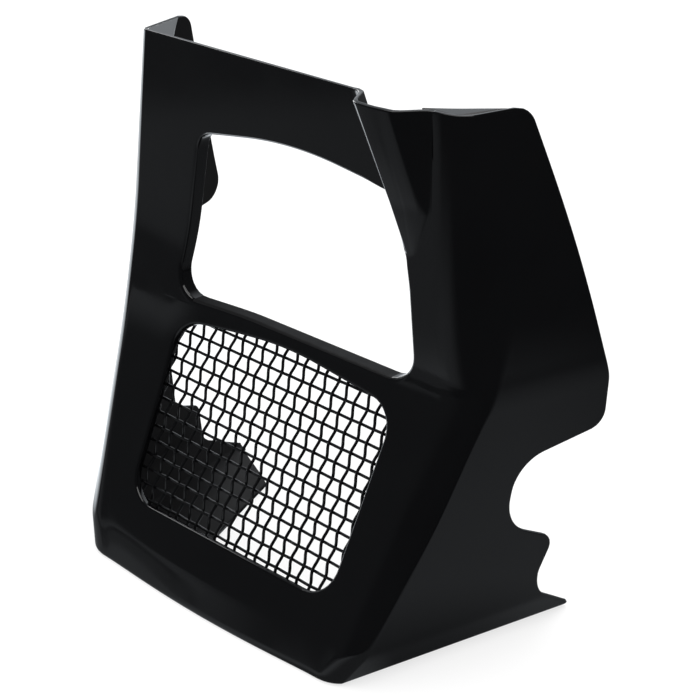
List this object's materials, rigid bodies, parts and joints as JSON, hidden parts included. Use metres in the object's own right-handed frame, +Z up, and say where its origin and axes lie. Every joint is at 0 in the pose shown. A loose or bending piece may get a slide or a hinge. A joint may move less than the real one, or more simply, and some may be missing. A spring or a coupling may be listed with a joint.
{
  "type": "chin spoiler",
  "caption": "Gloss black moulded chin spoiler: open-backed shell with an arched cooler opening above a raked face and a woven wire grille in the lower window.",
  "frame": {"origin": "middle of the flat floor under the chin, on its underside", "axes": "+X across the bike to the right as seen from the front, +Y to the rear of the bike, +Z up"},
  "size_m": [0.3457, 0.1726, 0.333],
  "materials": {
    "gloss_black_shell": "high gloss black, moulded through or painted",
    "black_wire": "black coated woven wire"
  },
  "bodies": {
    "root": {"spoiler_shell": "gloss_black_shell", "mesh_grille": "black_wire"}
  },
  "joints": []
}
